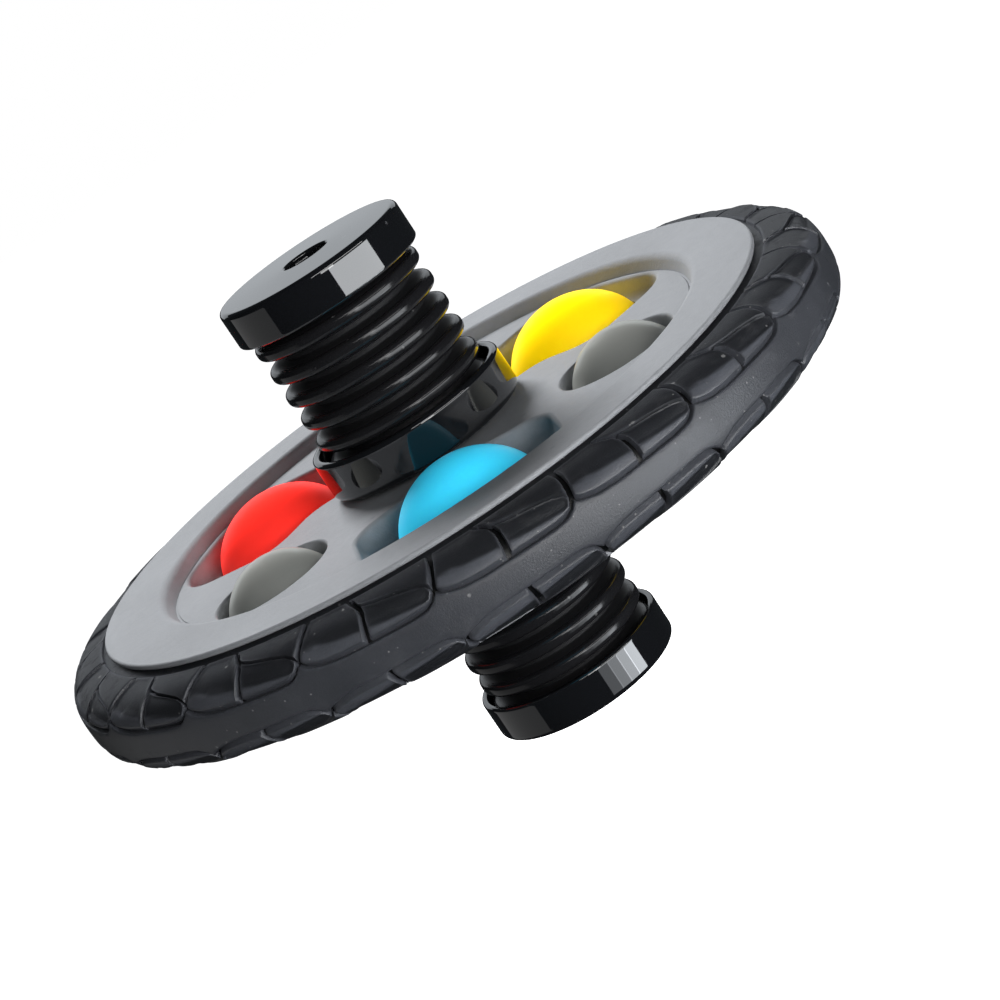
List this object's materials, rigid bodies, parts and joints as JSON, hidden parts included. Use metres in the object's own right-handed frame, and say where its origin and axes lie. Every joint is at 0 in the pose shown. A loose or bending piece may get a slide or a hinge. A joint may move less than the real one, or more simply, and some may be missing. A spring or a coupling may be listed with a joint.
{
  "type": "fidget spinner",
  "caption": "Tyred hand spinner: a wheel with loose coloured and steel balls, turning on a ball bearing between two sprung bellows grips.",
  "frame": {"origin": "centre of the wheel, on the spin axis", "axes": "+Z along the spin axis towards the upper grip; -Y towards the blue ball; +X towards the yellow and right steel balls"},
  "size_m": [0.0786, 0.0786, 0.0472],
  "materials": {
    "tyre": "satin rubber with moulded tread",
    "grey_plastic": "fine matte grain",
    "blue_plastic": "satin",
    "yellow_plastic": "satin",
    "red_plastic": "satin",
    "satin_steel": "satin brushed",
    "polished_steel": "polished",
    "brass": "bright",
    "black_gloss": "piano gloss",
    "bellows_rubber": "semi-gloss"
  },
  "bodies": {
    "core": {"axle": "satin_steel", "bearing_inner_ring": "polished_steel", "upper_collar": "black_gloss", "lower_collar": "black_gloss", "upper_bellows": "bellows_rubber", "lower_bellows": "bellows_rubber", "upper_spring": "satin_steel", "lower_spring": "satin_steel"},
    "wheel": {"tyre": "tyre", "upper_wheel_shell": "grey_plastic", "lower_wheel_shell": "grey_plastic", "bearing_outer_ring": "polished_steel", "upper_bearing_shield": "polished_steel", "lower_bearing_shield": "polished_steel"},
    "cage": {"bearing_cage": "brass", "bearing_ball_1": "polished_steel", "bearing_ball_2": "polished_steel", "bearing_ball_3": "polished_steel", "bearing_ball_4": "polished_steel", "bearing_ball_5": "polished_steel", "bearing_ball_6": "polished_steel", "bearing_ball_7": "polished_steel"},
    "blue_ball": {"blue_ball": "blue_plastic"},
    "yellow_ball": {"yellow_ball": "yellow_plastic"},
    "red_ball": {"red_ball": "red_plastic"},
    "steel_ball_right": {"steel_ball_right": "satin_steel"},
    "steel_ball_back": {"steel_ball_back": "satin_steel"},
    "steel_ball_left": {"steel_ball_left": "satin_steel"},
    "upper_end": {"upper_cap": "black_gloss", "upper_cap_screw": "polished_steel", "upper_stem": "satin_steel"},
    "lower_end": {"lower_cap": "black_gloss", "lower_cap_screw": "polished_steel", "lower_stem": "satin_steel"}
  },
  "joints": [
    {"name": "wheel_spin", "type": "hinge", "parent": "core", "child": "wheel", "pos_m": [0, 0, 0], "axis": [0, 0, 1], "continuous": true},
    {"name": "cage_spin", "type": "hinge", "parent": "core", "child": "cage", "pos_m": [0, 0, 0], "axis": [0, 0, 1], "continuous": true},
    {"name": "upper_press", "type": "slide", "parent": "core", "child": "upper_end", "axis": [0, 0, -1], "range_m": [0, 0.004], "stiffness_N_per_m": 700, "springref_m": -0.002, "deforming": ["upper_bellows", "upper_spring"]},
    {"name": "lower_press", "type": "slide", "parent": "core", "child": "lower_end", "axis": [0, 0, 1], "range_m": [0, 0.004], "stiffness_N_per_m": 700, "springref_m": -0.002, "deforming": ["lower_bellows", "lower_spring"]},
    {"name": "blue_ball_roll", "type": "hinge", "parent": "wheel", "child": "blue_ball", "pos_m": [0, -0.0187, 0], "axis": [1, 0, 0], "continuous": true},
    {"name": "yellow_ball_roll", "type": "hinge", "parent": "wheel", "child": "yellow_ball", "pos_m": [0.01619, 0.00935, 0], "axis": [-0.5, 0.866, 0], "continuous": true},
    {"name": "red_ball_roll", "type": "hinge", "parent": "wheel", "child": "red_ball", "pos_m": [-0.01619, 0.00935, 0], "axis": [-0.5, -0.866, 0], "continuous": true},
    {"name": "steel_ball_right_roll", "type": "hinge", "parent": "wheel", "child": "steel_ball_right", "pos_m": [0.01775, -0.01025, 0], "axis": [0.5, 0.866, 0], "continuous": true},
    {"name": "steel_ball_back_roll", "type": "hinge", "parent": "wheel", "child": "steel_ball_back", "pos_m": [0, 0.0205, 0], "axis": [-1, 0, 0], "continuous": true},
    {"name": "steel_ball_left_roll", "type": "hinge", "parent": "wheel", "child": "steel_ball_left", "pos_m": [-0.01775, -0.01025, 0], "axis": [0.5, -0.866, 0], "continuous": true}
  ],
  "couplings": [
    {"joint": "cage_spin", "follows": "wheel_spin", "ratio": 0.5958}
  ]
}
